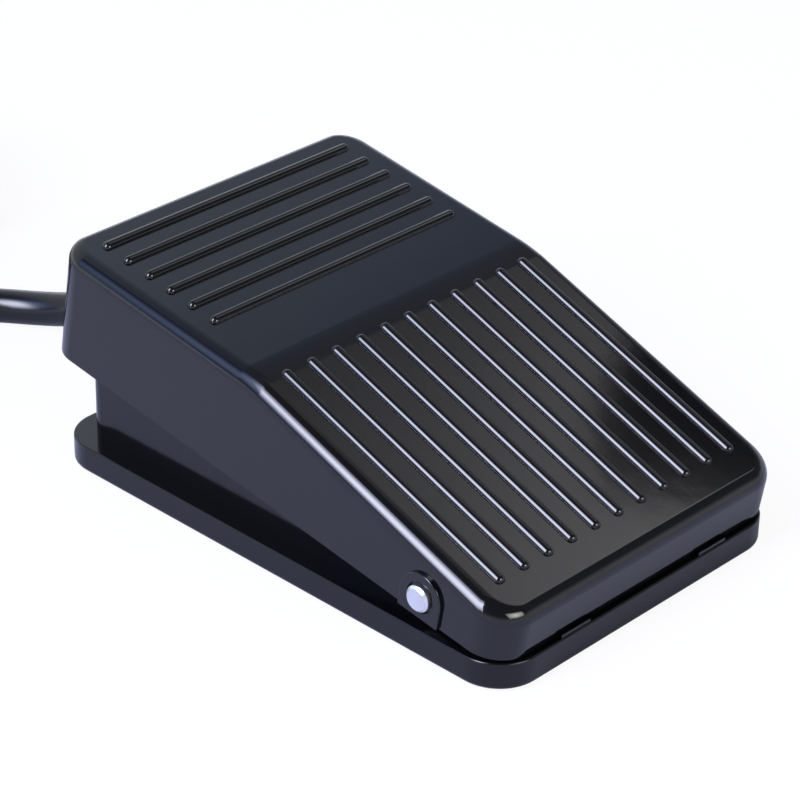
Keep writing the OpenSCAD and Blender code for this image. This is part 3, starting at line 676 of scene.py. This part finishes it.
# what hangs under the pedal: the striker over the switch, and the spring's seat
inside = {"strikerBack": 46, "strikerWidth": 4.2, "strikerRadius": 1.5, "strikerDrop": 3.2,
          "switchX": -13, "springBack": 52.5, "seatDrop": 1.1, "cup": 11.4, "cupHigh": 2.4,
          "spigot": 7.2, "spigotDrop": 4, "halfTravel": 4.55, "root": 0.6, "lap": 1,
          "edge": 0.25}


def makeInside():
    p, n = pedal, inside
    ceiling = p["top"] - p["wall"]
    x0, x1 = (n["switchX"] + side * n["strikerWidth"] / 2 for side in (-1, 1))
    y, r = n["strikerBack"], n["strikerRadius"]
    z = ceiling - n["strikerDrop"] + r - n["lap"]
    tip = addRod("striker", (x0, y, z), (x1, y, z), r, 32)
    stem = addBlock("stem", (x0, y - r, z), (x1, y + r, ceiling + n["root"]))
    lean = math.radians(n["halfTravel"])
    height = ceiling - n["seatDrop"]
    seat = Vector((0, n["springBack"] + height * math.sin(lean), height))
    down = Vector((0, -math.sin(lean), -math.cos(lean)))
    cup = addRod("cup", seat, seat - down * n["cupHigh"], n["cup"] / 2)
    spigot = addRod("spigot", seat + down * n["spigotDrop"], seat - down * n["lap"],
                    n["spigot"] / 2)
    for obj in (stem, cup, spigot):
        apply(obj, "BEVEL", width=n["edge"], segments=2)
    return [tip, stem, cup, spigot]


def makePedal():
    p = pedal
    past = 1  # tools reach this far or more past what they cut
    boreReach = 40
    form = makePedalForm(0, p["lower"])
    pads = [makePad(-1), makePad(1)]
    for part in (form, *pads):
        cut(part, makePedalForm(p["wall"], p["lower"] - past))
    for part in (form, *pads):
        cut(part, addRod("bore", (-boreReach, 0, 0), (boreReach, 0, 0), p["hole"] / 2,
                         p["roundSides"]))
        for side in (-1, 1):
            edge = side * (p["width"] / 2 + p["padThick"])
            cut(part, addRod("ring", (edge - side * p["ringDeep"], 0, 0),
                             (edge + side * 3 * past, 0, 0), p["ring"] / 2, p["roundSides"]))
    back, rear, arch = p["rear"] - p["corner"], p["rear"] + past, p["archRadius"]
    cut(form, addRod("arch", (0, back, p["archHeight"]), (0, rear, p["archHeight"]), arch,
                     p["roundSides"]))
    cut(form, addBlock("archFoot", (-arch, back, p["lower"] - 2 * past),
                       (arch, rear, p["archHeight"])))
    for side in (-1, 1):
        x, half = side * p["tabX"], p["tabWidth"] / 2
        cut(form, addBlock("notch", (x - half, p["front"] - past, p["lower"] - past),
                           (x + half, p["front"] + p["wall"] + past, p["lower"] + p["tabHeight"])))
    shell = joined(form, *pads, *makeBeads(), *makeInside())
    pick(shell)
    bpy.ops.object.shade_smooth_by_angle(angle=math.radians(35))
    apply(shell, "WEIGHTED_NORMAL", keep_sharp=True, weight=60)
    tilt = Matrix.Rotation(math.radians(p["tilt"]), 4, "X")
    shell.data.transform(Matrix.Translation(hinge) @ tilt @ Matrix.Scale(mm, 4))
    shell.name = "pedalShell"
    shell.data.name = "pedalShell"
    return shell


pedalShell = makePedal()
paint(pedalShell, finishes["shell_pedal"])
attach(pedalShell, "pedal")
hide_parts("pedal_cover")
print("pedal shaped", len(pedalShell.data.polygons))


# foot and head are the middles of the end turns; pressed, the head moves back and down with its seat
spring = {"foot": (0, 18.8, 3.6), "head": (0, 17.212, 31.587), "headMoves": (0, 2.55, -8.1),
          "turns": 8, "radius": 4.5, "wire": 1.0, "flatEnd": 0.6, "steps": 30}


def springPoint(u):
    n, foot, head = spring["turns"], Vector(spring["foot"]), Vector(spring["head"])
    flat = spring["flatEnd"] * spring["wire"] / (head - foot).length
    turn = u * n  # the end turns lie nearly flat
    if turn < 1:
        t = 2 * flat * turn
    elif turn > n - 1:
        t = 1 - 2 * flat * (n - turn)
    else:
        t = 2 * flat + (1 - 4 * flat) * (turn - 1) / (n - 2)
    a = 2 * math.pi * turn
    return foot + (head - foot) * t + Vector((math.cos(a), math.sin(a), 0)) * spring["radius"]


def makeSpring():
    count = spring["turns"] * spring["steps"]
    line = [springPoint(i / count) * mm for i in range(count + 1)]
    coil = meshed(addTube("springCoil", line, spring["wire"] / 2 * mm, resolution=4))
    pick(coil)
    bpy.ops.object.shade_smooth_by_angle(angle=math.radians(50))
    return coil


springCoil = makeSpring()
paint(springCoil, finishes["spring_steel"])
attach(springCoil, "base")
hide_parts("return_spring")
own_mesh(springCoil)
print("spring wound")


# the room's colour by direction: sky from level to straight up, rearSky from sideways to the rear
studio = {"floorSize": 8, "floorColour": (0.50, 0.51, 0.61, 1), "whiteShare": 0.88, "glow": 1.05,
          "sky": [(0.0, (0.90, 0.91, 0.95, 1)), (0.14, (0.70, 0.72, 0.78, 1)),
                  (0.36, (0.16, 0.17, 0.20, 1)), (1.0, (0.12, 0.12, 0.13, 1))],
          "rearSky": [(0.05, (0, 0, 0, 1)), (0.16, (0.10, 0.10, 0.11, 1)),
                      (0.32, (0.10, 0.12, 0.17, 1)), (0.42, (0.13, 0.17, 0.30, 1)),
                      (0.52, (0.45, 0.53, 0.68, 1)), (0.75, (0.66, 0.70, 0.76, 1))]}
white = (1, 1, 1, 1)

# each panel: its middle, which way its length runs, length and height in metres, its brightness
# (1 is paper white) and how that changes along its length and up its height
panels = {
    "leftBox": {
        "place": (-0.92, 0.30, 0.80), "run": (0, 1, 0), "size": (0.96, 1.45), "level": 21,
        "along": [(0.0, (0.80, 0.82, 1.0, 1)), (0.38, (0.80, 0.82, 1.0, 1)),
                  (0.48, (0.36, 0.38, 0.52, 1)), (0.60, (0.09, 0.11, 0.18, 1)),
                  (1.0, (0.02, 0.03, 0.06, 1))],
        "up": [(0.0, (0.03, 0.03, 0.04, 1)), (0.26, (0.6, 0.6, 0.64, 1)), (0.42, white),
               (0.62, white), (0.76, (0.5, 0.5, 0.55, 1)), (1.0, (0.03, 0.03, 0.04, 1))]},
    "roofPanel": {
        "place": (0.778, 0.064, 1.338), "run": (0.23, 0.92, -0.307), "size": (0.66, 0.95),
        "level": 1.65,
        "along": [(0.10, (0.34, 0.34, 0.35, 1)), (0.16, (0.43, 0.43, 0.44, 1)),
                  (0.21, (0.55, 0.55, 0.56, 1)), (0.27, (0.67, 0.67, 0.68, 1)),
                  (0.33, (0.77, 0.77, 0.78, 1)), (0.42, (0.96, 0.96, 0.97, 1)),
                  (0.55, white), (1.0, grey(0.65))],
        "up": [(0.0, white), (0.17, white), (0.24, grey(0.84)), (0.30, grey(0.68)),
               (0.38, grey(0.53)), (0.50, grey(0.32)), (1.0, grey(0.26))],
        # the lower side of all three lines (across, up, shift) is in shade
        "shade": [(0, 1, -0.186), (-0.49, 0.87, -0.034), (0.844, 0.537, -0.384)],
        "shadeTone": grey(0.03), "shadeSharpness": 140, "shadeShift": 0.6},
    "frontBox": {
        "place": (0.02, -1.05, 0.52), "run": (1, 0, 0), "size": (0.80, 0.50), "level": 12,
        "along": [(0.0, (0.4, 0.39, 0.37, 1)), (0.5, (1, 0.98, 0.94, 1)),
                  (1.0, (0.4, 0.39, 0.37, 1))],
        "up": [(0.0, grey(0.4)), (0.5, white), (1.0, grey(0.4))]},
}


def makeFloor():  # nearly white to the camera; all other light meets a blue-grey paper
    deselect()
    bpy.ops.mesh.primitive_plane_add(size=studio["floorSize"], location=(0, 0, 0))
    floor = named("studioFloor")
    f = Finish("floorPaper", {"Base Color": studio["floorColour"], "Roughness": 0.9})
    ray = f.node("ShaderNodeLightPath")
    glow = f.node("ShaderNodeEmission", {}, {"Color": white, "Strength": studio["glow"]})
    paper = Link(f, f.shader.outputs[0])
    blend = f.node("ShaderNodeMixShader", {}, {0: ray * studio["whiteShare"], 1: paper, 2: glow})
    f.put(f.tree.nodes["Material Output"].inputs, "Surface", blend)
    paint(floor, f.material)


def makeWorld():
    world = bpy.data.worlds.new("studio")
    world.use_nodes = True
    bpy.context.scene.world = world
    n = Nodes(world.node_tree)
    spot = n.where("generated")
    sky = n.ramp(n.axis(spot, 2), studio["sky"])
    rearSky = n.ramp(n.axis(spot, 1), studio["rearSky"])
    room = n.mix(1.0, sky, rearSky, "ADD")
    ray = n.node("ShaderNodeLightPath")
    n.put(n.tree.nodes["Background"].inputs, "Color", n.mix(ray, room, white))


def addPanel(name, panel):
    middle = Vector(panel["place"])
    facing = (Vector((0, 0, 0.02)) - middle).normalized()  # towards the middle of the switch
    run = Vector(panel["run"])
    run = (run - facing * run.dot(facing)).normalized()
    up = facing.cross(run)
    if up.z < 0:
        run, up = -run, -up
    deselect()
    bpy.ops.mesh.primitive_plane_add(size=1)
    sheet = named(name)
    sheet.scale = (*panel["size"], 1)
    settle(sheet)
    turn = Matrix((run, up, facing)).transposed().to_4x4()
    sheet.data.transform(Matrix.Translation(middle) @ turn)
    f = Finish(name, {"Base Color": (0, 0, 0, 1), "Roughness": 1.0,
                      "Emission Strength": panel["level"]})
    flat = f.where("uv")
    u, v = f.axis(flat, 0), f.axis(flat, 1)
    glow = f.mix(1.0, f.ramp(u, panel["along"]), f.ramp(v, panel["up"]), "MULTIPLY")
    if "shade" in panel:
        edge, *others = [u * across + v * rise + shift for across, rise, shift in panel["shade"]]
        for other in others:
            edge = edge.maths("MAXIMUM", edge, other)
        edge = edge * panel["shadeSharpness"] + panel["shadeShift"]
        shade = f.ramp(edge, [(0.0, panel["shadeTone"]), (1.0, white)])
        glow = f.mix(1.0, glow, shade, "MULTIPLY")
    paint(sheet, f.set({"Emission Color": glow}))


makeFloor()
makeWorld()
for name, panel in panels.items():
    addPanel(name, panel)
bpy.context.scene.view_settings.view_transform = "Standard"
print("studio lit")
